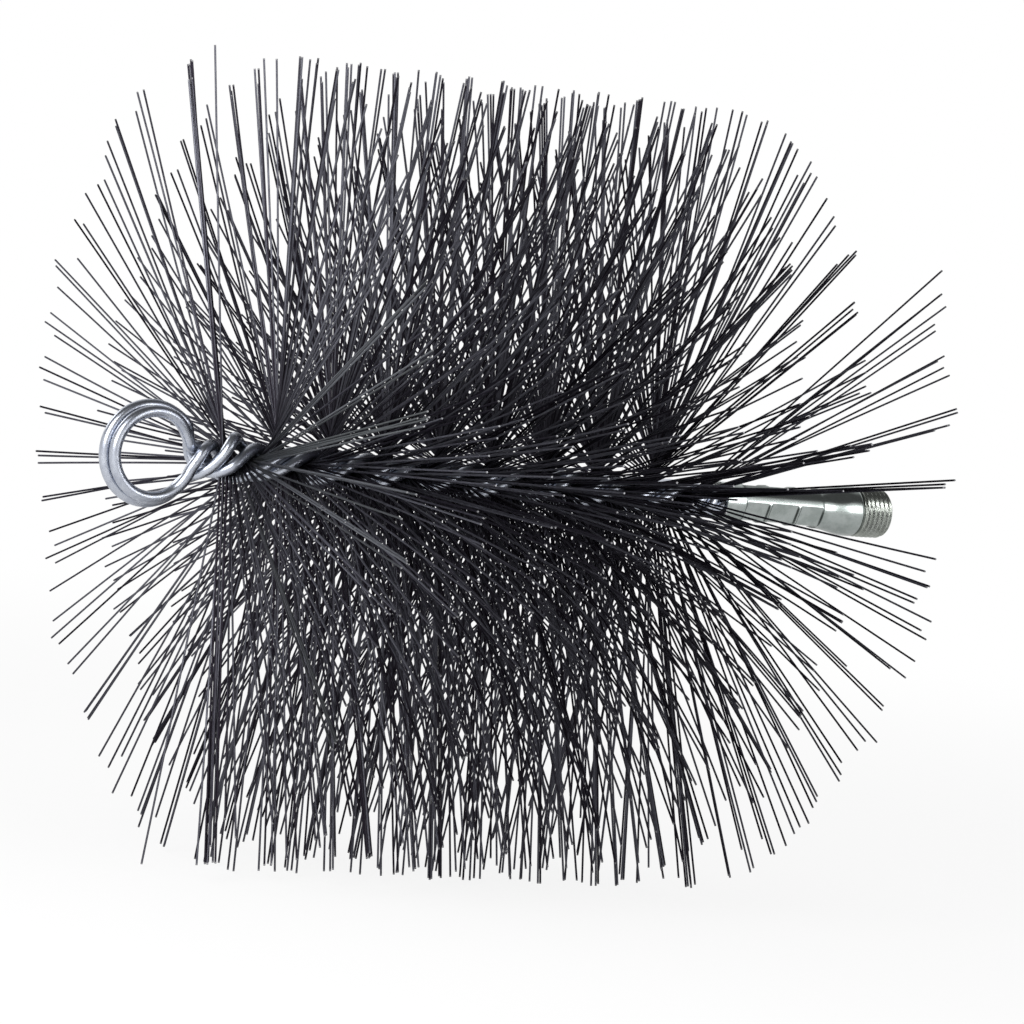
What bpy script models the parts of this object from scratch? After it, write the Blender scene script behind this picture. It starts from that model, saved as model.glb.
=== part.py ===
"""Round chimney sweep brush: wire bristles in a twisted stem with an eye and a threaded ferrule.

Units are metres and +Z is up. +X runs along the stem from the eye to the thread.
The origin is under the middle of the brush, on the plane that the lowest bristle tips rest on.
"""
import math
import random

import bmesh
import bpy
import numpy as np
from mathutils import Vector

for old in list(bpy.data.objects):
    bpy.data.objects.remove(old, do_unlink=True)

TURN = 2 * math.pi
QUARTER = math.pi / 2
MILLIMETRE = 0.001

# Places along the brush are measured from the neck, where the legs of the eye meet.

# Stem wire and the eye that it is bent into
WIRE_DIAMETER = 0.0027
RING_RADIUS = 0.0121            # centreline of the outer wire round the eye
RING_STEP = 0.0013              # how much smaller the inner wire's ring is
EYE_DISTANCE = 0.0115           # from the neck to the middle of the eye
NECK_FILLET = 0.003             # centreline bend from the eye into the twist
LAY_GAP = 0.00055               # gap between neighbouring legs where the stem is bare
SIDE_GAP = 0.00045              # gap between the two legs on one side of the bristles
ROW_GAP = 0.0003                # gap between the wires and what lies beside them

# Twist of the stem, left-handed; a lead is the length of one full turn
TWIST_LEAD_IN = 0.0016          # how far before the neck the twist starts
NECK_RAMP = 0.002               # length over which the twist builds up
NECK_END = 0.0072
PACK_RAMP = 0.002               # length over which the twist slackens among the bristles
SPREAD_SHARE = 1.1              # how wide the two wires spread where the legs cross
NECK_LEAD_SHARE = 5.1           # lead of the bare neck as a share of the legs' pitch
PACK_LEAD = 0.0312
TAIL_LEAD_SHARE = 5.1
SEAT_LEAD_SHARE = 9.5
TAIL_RAMP = 0.003
SEAT_RAMP = 0.002

# Bristles
PACK_START = 0.0076
PACK_LENGTH = 0.1374
BRISTLE_RADIUS = 0.1016
BRISTLE_THICKNESS = 0.0005
ROOT_STAND_OUT = 0.0007         # how far the clamped row reaches past the stem's legs
TUFT_GAP = 0.0003
TIP_CUT = 0.0005                # depth of the flat on the tips that the brush stands on
FLARE_REACH = 0.020             # distance from each end over which the outer bristles straighten
START_FLARE = math.radians(7)
END_FLARE = math.radians(5.5)
TILT_SPREAD = math.radians(2.0)
FAN_SPREAD = math.radians(1.0)
SHORTEST_SHARE = 0.97           # shortest bristle as a share of the radius
TUFTS = 18
STRANDS_A_SIDE = 13

# Ferrule
BARE_TAIL = 0.0118              # bare stem between the last bristle and the ferrule
TUBE_WALL = 0.0007
COLLAR_LENGTH = 0.0042
FIRST_BITE = 0.0070
SECOND_BITE = 0.0090
THIRD_BITE = 0.0073
SHANK_RADIUS = 0.0054
CRIMP_DEPTH = 0.0004            # how far the six crimped flats are pressed in
RIDGE_LENGTH = 0.0009           # rounded ridge between two crimps
FLARE_LENGTH = 0.0075
LAND_LENGTH = 0.0034
PIPE_RADIUS = 0.00686
PIPE_BORE = 0.0046
THREAD_LENGTH = 0.0099
THREAD_PITCH = 0.001411
THREAD_DEPTH = 0.00113
THREAD_END_RADIUS = 0.00662     # crest radius at the small end of the taper
THREAD_TAPER_SHARE = 1 / 32     # growth of the radius along the thread
STEM_STOP = 0.0051              # how far the wire ends lie inside the ferrule's mouth

# Counts of points and rows
POINTS_A_TURN = 10
RING_POINTS = 24
FILLET_POINTS = 3
SIDES_OF_HEX = 6
FLARE_ROWS = 5
THREAD_ROW_SHARES = (0.0, 0.14, 0.5, 0.64)
THREAD_DEPTH_SHARES = (1, 1, 0, 0)
HALVINGS = 40
TABLE_STEPS = 4000

# Sizes that follow from the ones above
WIRE_RADIUS = WIRE_DIAMETER / 2
LAY_PITCH = WIRE_DIAMETER + LAY_GAP
SIDE_PITCH = WIRE_DIAMETER + SIDE_GAP
EYE_CENTRE = -EYE_DISTANCE
TWIST_START = -TWIST_LEAD_IN
PACK_END = PACK_START + PACK_LENGTH
FERRULE_START = PACK_END + BARE_TAIL
BITES = (FIRST_BITE, SECOND_BITE, THIRD_BITE)
CRIMP_LENGTH = COLLAR_LENGTH + sum(BITES)
FERRULE_LENGTH = CRIMP_LENGTH + FLARE_LENGTH + LAND_LENGTH + THREAD_LENGTH
FERRULE_END = FERRULE_START + FERRULE_LENGTH
STEM_END = FERRULE_END - STEM_STOP
EYE_LEFT = EYE_CENTRE - RING_RADIUS - WIRE_RADIUS
AXIS_HEIGHT = BRISTLE_RADIUS - TIP_CUT


def least(size_of, target, low, high):
    """Smallest value between low and high at which size_of reaches the target."""
    for _ in range(HALVINGS):
        middle = (low + high) / 2
        if size_of(middle) < target:
            low = middle
        else:
            high = middle
    return high


def leg_distance(lead, radius, phase):
    """Least distance between the centrelines of two legs of one twist, a phase apart."""
    slide = np.linspace(-lead / 2, lead / 2, TABLE_STEPS)
    chord = 2 * radius * np.sin((phase + TURN * slide / lead) / 2)
    return float(np.sqrt(chord ** 2 + slide ** 2).min())


def square_lay(lead):
    """Offset, across and apart alike, of four legs that keep their pitch at this lead."""
    radius = least(lambda size: leg_distance(lead, size, QUARTER), LAY_PITCH, WIRE_RADIUS, lead)
    return radius / math.sqrt(2)


NECK_LEAD = NECK_LEAD_SHARE * LAY_PITCH
TAIL_LEAD = TAIL_LEAD_SHARE * LAY_PITCH
SEAT_LEAD = SEAT_LEAD_SHARE * LAY_PITCH
NECK_OFFSET = square_lay(NECK_LEAD)
NECK_SPREAD = NECK_OFFSET * SPREAD_SHARE
TAIL_OFFSET = square_lay(TAIL_LEAD)
SEAT_OFFSET = square_lay(SEAT_LEAD)
PACK_SLOPE = math.hypot(1, TURN * WIRE_DIAMETER / PACK_LEAD)
PACK_APART = BRISTLE_THICKNESS / 2 + (WIRE_RADIUS + ROW_GAP) * PACK_SLOPE
PACK_ACROSS = least(
    lambda across: leg_distance(
        PACK_LEAD, math.hypot(across, PACK_APART), 2 * math.atan2(across, PACK_APART)
    ),
    SIDE_PITCH, 0, WIRE_DIAMETER)
RING_APART = math.sqrt(LAY_PITCH ** 2 - RING_STEP ** 2) / 2
ROW_REACH = PACK_ACROSS + WIRE_RADIUS + ROOT_STAND_OUT
SEAT_BORE = SEAT_OFFSET * math.sqrt(2) + WIRE_RADIUS + ROW_GAP

# Turn rate, in turns a metre, and the legs' offsets at stations along the stem
STATIONS = (
    (TWIST_START, 0, NECK_OFFSET, RING_APART),
    (TWIST_START + NECK_RAMP / 2, 1 / NECK_LEAD / 2, NECK_OFFSET, NECK_SPREAD),
    (TWIST_START + NECK_RAMP, 1 / NECK_LEAD, NECK_OFFSET, NECK_SPREAD),
    (NECK_END, 1 / NECK_LEAD, NECK_OFFSET, NECK_SPREAD),
    (NECK_END + PACK_RAMP, 1 / PACK_LEAD, PACK_ACROSS, PACK_APART),
    (PACK_END, 1 / PACK_LEAD, PACK_ACROSS, PACK_APART),
    (PACK_END + TAIL_RAMP, 1 / TAIL_LEAD, TAIL_OFFSET, TAIL_OFFSET),
    (FERRULE_START - 2 * SEAT_RAMP, 1 / TAIL_LEAD, TAIL_OFFSET, TAIL_OFFSET),
    (FERRULE_START - SEAT_RAMP, 1 / SEAT_LEAD, SEAT_OFFSET, SEAT_OFFSET),
    (STEM_END, 1 / SEAT_LEAD, SEAT_OFFSET, SEAT_OFFSET),
)
PLACES, RATES, ACROSS, APART = (np.array(column) for column in zip(*STATIONS))
TABLE = np.linspace(TWIST_START, STEM_END, TABLE_STEPS)
TABLE_RATES = np.interp(TABLE, PLACES, RATES)
TABLE_STEP = TABLE[1] - TABLE[0]
TABLE_TURNS = np.concatenate(
    ([0], np.cumsum((TABLE_RATES[1:] + TABLE_RATES[:-1]) / 2 * TABLE_STEP)))


def turns_to(place):
    """Turns that the stem has made at a place along it."""
    return float(np.interp(place, TABLE, TABLE_TURNS))


def twist(place):
    """Angle of the bristle row at a place along the stem, falling because the lay is left-handed."""
    return QUARTER - TURN * turns_to(place)


def place_at(turns):
    """Place along the stem where the twist has made this many turns."""
    return float(np.interp(turns, TABLE_TURNS, TABLE))


def on_stem(place, across, apart):
    """Point at an offset along the bristle row and one square to it, at a place along the stem."""
    angle = twist(place)
    return Vector((
        place,
        across * math.cos(angle) - apart * math.sin(angle),
        across * math.sin(angle) + apart * math.cos(angle),
    ))


def finish(name, colour, roughness, metallic):
    """Material with one colour and gloss."""
    material = bpy.data.materials.new(name)
    material.use_nodes = True
    shader = material.node_tree.nodes["Principled BSDF"]
    shader.inputs["Base Color"].default_value = (*colour, 1)
    shader.inputs["Roughness"].default_value = roughness
    shader.inputs["Metallic"].default_value = metallic
    return material


def add_part(name, data, material, place=0):
    """Object on the brush's axis, at a place along it."""
    part = bpy.data.objects.new(name, data)
    bpy.context.scene.collection.objects.link(part)
    data.materials.append(material)
    part.parent = brush_axis
    part.location = (place, 0, 0)
    return part


brush_axis = bpy.data.objects.new("brush_axis", None)
bpy.context.scene.collection.objects.link(brush_axis)
brush_axis.location = (-(EYE_LEFT + FERRULE_END) / 2, 0, AXIS_HEIGHT)

stem_zinc = finish("stem_zinc", (0.36, 0.38, 0.41), 0.32, 1.0)
bristle_steel = finish("bristle_steel", (0.045, 0.042, 0.048), 0.45, 0.85)
ferrule_zinc = finish("ferrule_zinc", (0.50, 0.53, 0.51), 0.34, 1.0)


# Stem wires: each is one length, up one leg, round the eye and back down the other leg

def neck_bend(ring_radius):
    """End of the bend from a ring into the twist, and the angle on the ring where it starts."""
    reach = ring_radius + NECK_FILLET
    rise = NECK_OFFSET + NECK_FILLET
    return EYE_CENTRE + math.sqrt(reach ** 2 - rise ** 2), math.asin(rise / reach)


def eye_half(ring_radius):
    """Upper half of the eye in its own plane, from its far end to the end of the neck's bend."""
    bend_end, start_angle = neck_bend(ring_radius)
    points = []
    for step in range(RING_POINTS // 2 + 1):
        angle = math.pi - (math.pi - start_angle) * step * 2 / RING_POINTS
        points.append((EYE_CENTRE + ring_radius * math.cos(angle), ring_radius * math.sin(angle)))
    for step in range(1, FILLET_POINTS + 1):
        angle = start_angle + (QUARTER - start_angle) * step / FILLET_POINTS
        points.append((bend_end - NECK_FILLET * math.cos(angle),
                       NECK_OFFSET + NECK_FILLET - NECK_FILLET * math.sin(angle)))
    return points


def leg(start):
    """Rest of the upper leg up to its end in the ferrule, with points at equal shares of a turn."""
    first, last = turns_to(start), turns_to(STEM_END)
    count = math.ceil((last - first) * POINTS_A_TURN)
    places = [place_at(first + (last - first) * step / count) for step in range(1, count + 1)]
    return [(place, float(np.interp(place, PLACES, ACROSS))) for place in places]


def wire_points(ring_radius, side):
    """Whole centreline of one wire, from the end of its upper leg to the end of its lower leg."""
    half = eye_half(ring_radius) + leg(neck_bend(ring_radius)[0])
    whole = half[::-1] + [(place, -across) for place, across in half[1:]]
    return [on_stem(place, across, side * float(np.interp(place, PLACES, APART)))
            for place, across in whole]


def stem_wire(name, ring_radius, side):
    """Round wire along its centreline."""
    curve = bpy.data.curves.new(name, "CURVE")
    curve.dimensions = "3D"
    curve.bevel_depth = WIRE_RADIUS
    curve.bevel_resolution = 1
    curve.use_fill_caps = True
    points = wire_points(ring_radius, side)
    spline = curve.splines.new("POLY")
    spline.points.add(len(points) - 1)
    for slot, point in zip(spline.points, points):
        slot.co = (*point, 1)
    add_part(name, curve, stem_zinc)
    return points


def dense(points):
    """Points along a centreline, close enough together to measure gaps on."""
    shares = np.linspace(0, 1, RING_POINTS)[:-1]
    return np.array([start.lerp(end, share) for start, end in zip(points, points[1:])
                     for share in shares])


def least_gap(points, others, apart_along):
    """Least gap between two wires, or between stretches of one that lie apart along it."""
    near = np.linalg.norm(points[:, None] - others[None], axis=2)
    if apart_along:
        steps = np.linalg.norm(np.diff(points, axis=0, append=points[-1:]), axis=1)
        along = np.cumsum(steps)
        near[np.abs(along[:, None] - along[None]) < apart_along] = apart_along
    return float(near.min()) - WIRE_DIAMETER


outer_wire = dense(stem_wire("stem_wire_outer", RING_RADIUS, -1))
inner_wire = dense(stem_wire("stem_wire_inner", RING_RADIUS - RING_STEP, 1))
for label, gap in (("outer wire to itself", least_gap(outer_wire, outer_wire, RING_RADIUS)),
                   ("inner wire to itself", least_gap(inner_wire, inner_wire, RING_RADIUS)),
                   ("one wire to the other", least_gap(outer_wire, inner_wire, 0))):
    print("least gap,", label, round(gap / MILLIMETRE, 3), "mm")


# Bristles: a quarter turn of the row, clamped between the two wires, is one tuft

def tip_tilt(place, chance):
    """Lean of a bristle along the brush: the rows at the ends flare outwards."""
    flare = END_FLARE * math.exp((place - PACK_END) / FLARE_REACH)
    flare -= START_FLARE * math.exp((PACK_START - place) / FLARE_REACH)
    return flare + chance.uniform(-TILT_SPREAD, TILT_SPREAD)


def bristle_tuft(name, start, end, chance):
    """Slice of the twisted row with its bristles, each a three-sided strand grown from the edge."""
    mesh = bmesh.new()
    half = BRISTLE_THICKNESS / 2
    places = np.linspace(start, end, STRANDS_A_SIDE + 1)
    rulings = []
    for place in places:
        corners = ((-ROW_REACH, -half), (ROW_REACH, -half), (ROW_REACH, half), (-ROW_REACH, half))
        rulings.append([mesh.verts.new(on_stem(place, *corner)) for corner in corners])
    mesh.faces.new(rulings[0][::-1])
    mesh.faces.new(rulings[-1])
    roots = []
    for place, after, left, right in zip(places, places[1:], rulings, rulings[1:]):
        mesh.faces.new((left[0], left[1], right[1], right[0]))
        mesh.faces.new((left[2], left[3], right[3], right[2]))
        mesh.faces.new((left[1], right[2], right[1]))
        mesh.faces.new((left[3], right[0], right[3]))
        for side, corners in ((1, (left[1], left[2], right[2])), (-1, (left[3], left[0], right[0]))):
            roots.append((mesh.faces.new(corners), side, (place + after) / 2))
    for face, side, place in roots:
        angle = twist(place) + chance.uniform(-FAN_SPREAD, FAN_SPREAD)
        tilt = tip_tilt(place, chance)
        length = (BRISTLE_RADIUS - ROW_REACH) * chance.uniform(SHORTEST_SHARE, 1)
        along = Vector((
            math.sin(tilt),
            side * math.cos(tilt) * math.cos(angle),
            side * math.cos(tilt) * math.sin(angle),
        ))
        root_corners = [corner.co.copy() for corner in face.verts]
        grown = bmesh.ops.extrude_discrete_faces(mesh, faces=[face])["faces"][0]
        for root, corner in zip(root_corners, grown.verts):
            tip = root + along * length
            if tip.z < -AXIS_HEIGHT:
                tip = root.lerp(tip, (root.z + AXIS_HEIGHT) / (root.z - tip.z))
            corner.co = tip
    bmesh.ops.recalc_face_normals(mesh, faces=mesh.faces)
    data = bpy.data.meshes.new(name)
    mesh.to_mesh(data)
    mesh.free()
    return add_part(name, data, bristle_steel)


chance = random.Random(8)
first_turn = turns_to(PACK_START)
tuft_turn = (turns_to(PACK_END) - first_turn) / TUFTS
for number in range(TUFTS):
    tuft_start = place_at(first_turn + tuft_turn * number) + TUFT_GAP / 2
    tuft_end = place_at(first_turn + tuft_turn * (number + 1)) - TUFT_GAP / 2
    bristle_tuft(f"bristle_tuft_{number + 1:02d}", tuft_start, tuft_end, chance)


# Ferrule: a tube crimped in three bites round the stem, flared to a pipe end with a taper thread

def ring_angles(radius, flat):
    """Angles round a ring whose six flats lie at this distance from the axis."""
    half_flat = math.acos(flat / radius)
    angles = []
    for sector in range(SIDES_OF_HEX):
        middle = TURN * sector / SIDES_OF_HEX
        for share in (-1, -1 / 2, 0, 1 / 2, 1):
            angles.append(middle + half_flat * share)
        angles.append(middle + TURN / SIDES_OF_HEX / 2)
    return angles


def outer_ring(mesh, place, radius, flat):
    """Ring of points on a round tube with six flats pressed into it."""
    ring = []
    for index, angle in enumerate(ring_angles(radius, flat)):
        sector = TURN / SIDES_OF_HEX
        from_flat = (angle + sector / 2) % sector - sector / 2
        reach = min(radius, flat / math.cos(from_flat))
        ring.append(mesh.verts.new((place, reach * math.cos(angle), reach * math.sin(angle))))
    return ring


def round_ring(mesh, place, radius):
    """Ring of points on a round surface, in line with the flats' points."""
    angles = ring_angles(SHANK_RADIUS, SHANK_RADIUS - CRIMP_DEPTH)
    return [mesh.verts.new((place, radius * math.cos(angle), radius * math.sin(angle)))
            for angle in angles]


def skin(mesh, left, right):
    """Band of faces between two rings, left out where both meet in one point."""
    for index in range(len(left)):
        corners = (left[index - 1], right[index - 1], right[index], left[index])
        distinct = list(dict.fromkeys(corners))
        if len(distinct) > 2:
            mesh.faces.new(distinct)


def thread_rows(mesh, land, mouth):
    """Columns of points along the helical thread, from the land's ring to the mouth's ring."""
    start = FERRULE_LENGTH - THREAD_LENGTH
    angles = ring_angles(SHANK_RADIUS, SHANK_RADIUS - CRIMP_DEPTH)
    turns = math.ceil(THREAD_LENGTH / THREAD_PITCH) + 1
    steps = [(turn + share, depth_share) for turn in range(-1, turns)
             for share, depth_share in zip(THREAD_ROW_SHARES, THREAD_DEPTH_SHARES)]
    columns = []
    for angle, land_point, mouth_point in zip(angles, land, mouth):
        column = []
        for step, depth_share in steps:
            along = (step + (angle - angles[0]) / TURN) * THREAD_PITCH
            if along <= 0:
                column.append(land_point)
            elif along >= THREAD_LENGTH:
                column.append(mouth_point)
            else:
                to_end = THREAD_LENGTH - along
                crest = min(PIPE_RADIUS, THREAD_END_RADIUS + to_end * THREAD_TAPER_SHARE)
                depth = THREAD_DEPTH * depth_share * min(1, along / THREAD_PITCH)
                chamfer = THREAD_END_RADIUS - THREAD_DEPTH + to_end
                radius = min(crest - depth, chamfer)
                column.append(mesh.verts.new((
                    start + along, radius * math.cos(angle), radius * math.sin(angle))))
        columns.append(column)
    return columns


def skin_thread(mesh, columns):
    """Faces of the thread: the last column meets the first one a pitch further on."""
    a_turn = len(THREAD_ROW_SHARES)
    columns = columns + [columns[0][a_turn:] + columns[0][-1:] * a_turn]
    for column, after in zip(columns, columns[1:]):
        for row in range(len(column) - 1):
            corners = (column[row], column[row + 1], after[row + 1], after[row])
            distinct = list(dict.fromkeys(corners))
            if len(distinct) > 2:
                mesh.faces.new(distinct)


def threaded_ferrule():
    """Whole ferrule with its bore, in its own frame with the stem end at zero."""
    mesh = bmesh.new()
    collar = SEAT_BORE + TUBE_WALL
    rings = [round_ring(mesh, 0, collar), round_ring(mesh, COLLAR_LENGTH - RIDGE_LENGTH / 2, collar)]
    place = COLLAR_LENGTH
    for length in BITES:
        for at, pressed in ((place + RIDGE_LENGTH / 2, 1), (place + length - RIDGE_LENGTH / 2, 1),
                            (place + length, 0)):
            share = (at - COLLAR_LENGTH) / (CRIMP_LENGTH - COLLAR_LENGTH)
            radius = collar + CRIMP_DEPTH + (SHANK_RADIUS - collar - CRIMP_DEPTH) * share
            flat = radius - CRIMP_DEPTH * (1 + pressed) / 2
            rings.append(outer_ring(mesh, at, radius, flat))
        place += length
    for step in range(FLARE_ROWS + 1):
        swell = (1 - math.cos(math.pi * step / FLARE_ROWS)) / 2
        at = CRIMP_LENGTH + RIDGE_LENGTH / 2 + (FLARE_LENGTH - RIDGE_LENGTH / 2) * step / FLARE_ROWS
        rings.append(round_ring(mesh, at, SHANK_RADIUS + (PIPE_RADIUS - SHANK_RADIUS) * swell))
    land = round_ring(mesh, FERRULE_LENGTH - THREAD_LENGTH, PIPE_RADIUS)
    mouth = round_ring(mesh, FERRULE_LENGTH, THREAD_END_RADIUS - THREAD_DEPTH)
    for left, right in zip(rings, rings[1:] + [land]):
        skin(mesh, left, right)
    skin_thread(mesh, thread_rows(mesh, land, mouth))
    bore = [round_ring(mesh, FERRULE_LENGTH, PIPE_BORE),
            round_ring(mesh, CRIMP_LENGTH + FLARE_LENGTH, PIPE_BORE),
            round_ring(mesh, CRIMP_LENGTH, SEAT_BORE), round_ring(mesh, 0, SEAT_BORE)]
    for left, right in zip([mouth] + bore, bore + rings[:1]):
        skin(mesh, left, right)
    bmesh.ops.recalc_face_normals(mesh, faces=mesh.faces)
    data = bpy.data.meshes.new("threaded_ferrule")
    mesh.to_mesh(data)
    mesh.free()
    data.shade_smooth()
    data.set_sharp_from_angle(angle=math.radians(25))
    return add_part("threaded_ferrule", data, ferrule_zinc, FERRULE_START)


threaded_ferrule()
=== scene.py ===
"""Looks of a round chimney sweep brush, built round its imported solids.

Lengths are in metres and +Z is up. +X runs along the stem from the eye to the thread.
Places along the brush are measured from the neck, where the legs of the eye meet.
"""

import math

import bpy
import numpy as np
from mathutils import Matrix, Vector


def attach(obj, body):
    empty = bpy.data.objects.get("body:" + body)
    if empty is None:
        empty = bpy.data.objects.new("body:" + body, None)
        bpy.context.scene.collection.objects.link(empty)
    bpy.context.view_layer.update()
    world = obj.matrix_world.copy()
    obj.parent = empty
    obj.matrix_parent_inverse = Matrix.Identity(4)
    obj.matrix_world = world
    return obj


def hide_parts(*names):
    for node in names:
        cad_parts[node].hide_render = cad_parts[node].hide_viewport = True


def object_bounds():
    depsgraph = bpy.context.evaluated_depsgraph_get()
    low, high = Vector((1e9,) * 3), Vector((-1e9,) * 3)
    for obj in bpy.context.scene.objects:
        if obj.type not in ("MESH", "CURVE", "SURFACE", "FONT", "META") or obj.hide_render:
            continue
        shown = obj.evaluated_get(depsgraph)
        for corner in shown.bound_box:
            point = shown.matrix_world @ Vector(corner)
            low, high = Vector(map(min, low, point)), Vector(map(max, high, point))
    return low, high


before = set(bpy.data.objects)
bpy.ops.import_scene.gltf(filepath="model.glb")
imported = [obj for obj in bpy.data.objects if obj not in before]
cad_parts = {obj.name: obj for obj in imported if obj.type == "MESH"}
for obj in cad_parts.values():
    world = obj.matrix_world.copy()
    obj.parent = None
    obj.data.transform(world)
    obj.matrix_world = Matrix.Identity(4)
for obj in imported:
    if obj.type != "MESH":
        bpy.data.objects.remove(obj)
cad_low, cad_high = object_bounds()

TURN = 2 * math.pi
QUARTER = math.pi / 2
MILLIMETRE = 0.001

# Camera, as the photograph was taken
CAMERA_AZIMUTH = math.radians(-30.671)
CAMERA_ELEVATION = math.radians(3.534)
CAMERA_ROLL = math.radians(6.650)
CAMERA_DISTANCE = 1.504711
CAMERA_LENS = 207.65
CAMERA_SENSOR = 36
CAMERA_REACH = 100              # it sees past the floor's far edge
AIM_PLACE = 0.092827            # along the stem
AIM_DROP = 0.007283             # below the stem

# Stem wire and the eye that it is bent into
WIRE_DIAMETER = 0.0030
RING_RADIUS = 0.01194           # centreline of the outer wire round the eye
RING_STEP = 0.0013              # how much smaller the inner wire's ring is
EYE_DISTANCE = 0.0115           # from the neck to the middle of the eye
OUTER_FILLET = 0.0074           # bends from the rings into the neck
INNER_FILLET = 0.0032
SOLID_RING_RADIUS = 0.0121      # the solids' ring, which sets where the brush's middle is
SOLID_WIRE_DIAMETER = 0.0027    # and their wire, a little thinner to leave gaps
LAY_PITCH = 0.00325             # between the two rings of the eye
SIDE_PITCH = 0.00304            # between the two legs on one side of the bristles
SEAT_GAP = 0.0002               # round the stem inside the ferrule

# Twist of the stem, left-handed; a lead is the length of one full turn
TWIST_LEAD_IN = 0.0025
NECK_RAMP = 0.0024
NECK_LEAD = 0.01696
NECK_ACROSS = 0.00207
CROSS_APART = 0.00155           # where the legs cross as they leave the eye
CROSS_LENGTH = 0.00154
NECK_APART = 0.00256
NECK_END = 0.0053
PACK_RAMP = 0.0036
HUB_SWELL = 0.00104             # the first thick bunch of bristles forces the legs out
HUB_SWELL_LENGTH = 0.012
PACK_LEAD = 0.0312
LAST_LEAD = 0.0350              # the twist loosens towards the end of the bristles
LOOSENED = (0.1222, 0.1262)     # where it does so
TAIL_PITCH = 0.00302            # the bare tail is laid tighter than its solid
TAIL_LEAD_SHARE = 4.9           # leads of the bare tail and in the ferrule, as shares of its pitch
SEAT_LEAD_SHARE = 9.5
TAIL_RAMP = 0.003
SEAT_RAMP = 0.002

# How each leg leaves the even lay at the neck: swell as a share, its place, turn about the stem
LEG_SWELL_REACH = 0.0035
LEG_TURN_PLACE = 0.0005
LEG_TURN_REACH = 0.003
LEG_TURN_LIMIT = -0.008         # before this place, on the rings, nothing turns
OUTER_UPPER = (0.072, 0.0, math.radians(9))
OUTER_LOWER = (0.43, 0.009, math.radians(9))
INNER_UPPER = (-0.16, -0.0005, math.radians(-17))
INNER_LOWER = (-0.016, 0.002, math.radians(-17))

# Bristles
PACK_START = 0.0076
PACK_LENGTH = 0.1382
BRISTLE_RADIUS = 0.1016
BRISTLE_THICKNESS = 0.00052
ROOT_STAND_OUT = 0.0007         # how far the clamped row reaches past the stem's legs
TIP_CUT = 0.0005                # depth of the solids' flat, on which the brush stands
BOX_MARGIN = 0.0002             # how far the tips stay inside the solids' box
START_FLARE = math.radians(7)   # lean of the outermost bristles towards each end
START_FLARE_REACH = 0.020
END_FLARE = math.radians(8.5)
END_FLARE_REACH = 0.028
TUFTS = 18
WIRES_A_TUFT = 43
FIRST_TUFTS = 3                 # looser ones, at the eye
WIRES_A_FIRST_TUFT = 33
LAYERS = 3                      # the clamped row is three bristles thick
PLACE_JITTER_SHARE = 0.35       # of the step from one bristle to the next
FAN_SPREAD = math.radians(1.7)
TILT_SPREAD = math.radians(2.1)
BUNCH_SIZES = (1, 2, 3, 4, 6)
BUNCH_CHANCES = (0.72, 0.16, 0.07, 0.03, 0.02)
BUNCH_STEP = math.radians(0.33)     # between neighbours that lie side by side in a bunch
BUNCH_BEARING_SHARES = (0.6, 1.1)   # of that step, round the stem
BUNCH_TILT_SHARES = (-0.5, 0.9)     # and along it
FULL_SHARE = 0.990              # length of a well cut bristle at the least
SHORTEST_SHARE = 0.93
SHORT_CHANCE = 0.22
BROKEN_SHARE = 0.6
BROKEN_CHANCE = 0.02
BEND_SHARE = 0.014              # sideways bend of a bristle as a share of its length
GRAIN_SCATTER = 5000            # millimetres, so that no two bristles share their grain
BRISTLE_SEED = 21
# Bunches that stand out: middle place, half their stretch of the row, which end of the bristles,
# lean along the stem in degrees, and shine
GATHERED = (
    (0.0087, 0.0009, -1, 2.6, 0),
    (0.0087, 0.0009, 1, 2.0, 0),
    (0.0119, 0.0004, 1, 0, 0.5),
    (0.0143, 0.0003, 1, 0, 0.6),
    (0.0151, 0.0003, 1, 0, 0.7),
    (0.0160, 0.0005, 1, 0, 1),
    (0.0168, 0.0003, 1, 0, 0.8),
    (0.0177, 0.0004, 1, 0, 0.6),
    (0.0190, 0.0005, -1, 0, 0),
    (0.1374, 0.0005, 1, 0, 0),
    (0.1394, 0.0004, 1, 0, 0),
)

# Bristles near the thread's end part in front of the ferrule. Each row has a stretch of the stem,
# then the foot, parting and top of a gap that is kept clear there, in degrees above the front.
PARTED_REST = 1.2               # depth in a gap becomes this much distance beyond its edge
PARTINGS = (
    (0.095, 0.116, 0.4, 4.8, 5.7),
    (0.095, 0.116, 6.3, 6.5, 8.9),
    (0.116, 0.133, -2.0, 4.4, 6.0),
    (0.116, 0.133, 6.9, 7.2, 10.5),
    (0.133, 0.147, -2.4, 4.8, 6.6),
    (0.133, 0.147, 9.2, 10.0, 15.5),
)

# Ferrule
BARE_TAIL = 0.0084              # bare stem between the bristles and the ferrule
COLLAR_LENGTH = 0.0056          # round tube in front of the crimps
COLLAR_RADIUS = 0.0050
BITES = (0.0077, 0.0090, 0.0078)    # lengths of the three crimps
SIDES_OF_HEX = 6
SHANK_RADIUS = 0.0053           # of the crimped tube where the flare starts
CRIMP_TURN = math.radians(24.5)
CRIMP_DEPTH = 0.0005
CRIMP_SPREAD = 0.00008          # how unevenly the jaws pressed
RIDGE_LENGTH = 0.0008
RIDGE_SINK = 0.00008            # the ridges between the bites are flattened a little too
CORNER_BULGE = 0.0002           # the squeezed metal stands out at the corners
CORNER_ROUNDING = 0.0001
SOFT_SIDE = 2                   # the side of the hexagon that the jaws hardly flattened
SOFT_BULGE_SHARE = 0.3
SOFT_BULGE_POWER = 4            # its bulge keeps to the corners
FLARE_LENGTH = 0.0096
LAND_LENGTH = 0.0020
PIPE_RADIUS = 0.00658
PIPE_BORE = 0.0046
THREAD_LENGTH = 0.0092
THREAD_PITCH = 0.001411
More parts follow.
